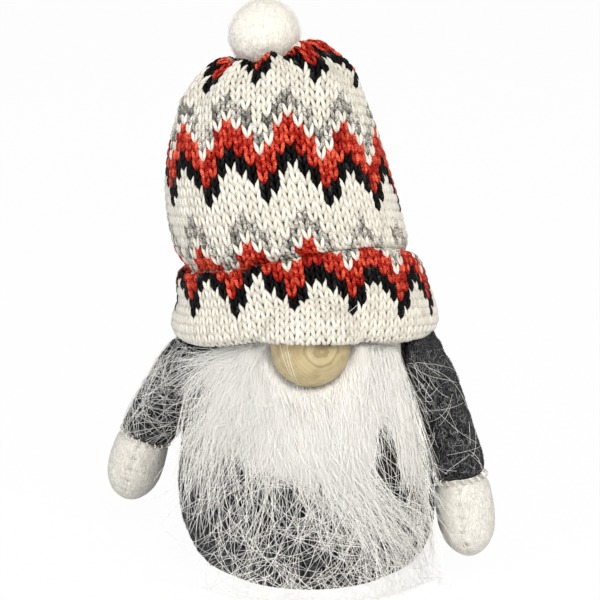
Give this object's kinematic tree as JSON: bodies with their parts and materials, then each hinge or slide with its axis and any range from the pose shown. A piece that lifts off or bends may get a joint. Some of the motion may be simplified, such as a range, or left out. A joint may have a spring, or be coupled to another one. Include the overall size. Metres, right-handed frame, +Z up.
{
  "type": "gnome figurine",
  "caption": "Standing stuffed gnome: weighted felt body with swinging arms, long fur beard, wooden half-ball nose and zigzag knitted hat with a pompom.",
  "frame": {"origin": "centre of the felt base's underside, on the table", "axes": "+Z up through the body, the figure faces -Y and its left arm is on the +X side"},
  "size_m": [0.1261, 0.0934, 0.1822],
  "materials": {
    "charcoal_felt": "felted melange, charcoal with pale fibres",
    "white_felt": "soft felt, off-white",
    "knit": "stocking stitch in off-white, red, black and grey yarn",
    "fur": "long straight pile, white",
    "fur_backing": "knitted backing cloth",
    "pompom_wool": "fluffy ball",
    "wood": "pale wood, sanded and unvarnished",
    "card": "pressed paper board",
    "calico": "plain cotton",
    "pellets": "small pellets",
    "fibre_filling": "loose polyester fibre",
    "black_thread": "twisted button thread",
    "white_thread": "twisted thread",
    "glue": "set hot-melt glue"
  },
  "bodies": {
    "body": {"body_felt": "charcoal_felt", "base_felt": "charcoal_felt", "base_board": "card", "weight_bag": "calico", "weight_pellets": "pellets", "body_filling": "fibre_filling", "head_thread": "black_thread", "hat_knit": "knit", "hat_filling": "fibre_filling", "crown_thread": "white_thread", "pompom": "pompom_wool", "pompom_thread": "white_thread", "beard_backing": "fur_backing", "beard_pile": "fur", "nose": "wood", "nose_glue": "glue", "left_shoulder_loop": "black_thread", "right_shoulder_loop": "black_thread"},
    "left_arm": {"left_sleeve": "charcoal_felt", "left_mitten": "white_felt", "left_arm_filling": "fibre_filling", "left_mitten_sewing": "white_thread"},
    "right_arm": {"right_sleeve": "charcoal_felt", "right_mitten": "white_felt", "right_arm_filling": "fibre_filling", "right_mitten_sewing": "white_thread"}
  },
  "joints": [
    {"name": "left_shoulder", "type": "hinge", "parent": "body", "child": "left_arm", "pos_m": [0.03514, -0.00942, 0.0722], "axis": [-0.2588, -0.9659, 0], "range_deg": [0, 50]},
    {"name": "right_shoulder", "type": "hinge", "parent": "body", "child": "right_arm", "pos_m": [-0.03603, 0.00506, 0.0722], "axis": [0.1392, 0.9903, 0], "range_deg": [0, 28]}
  ]
}
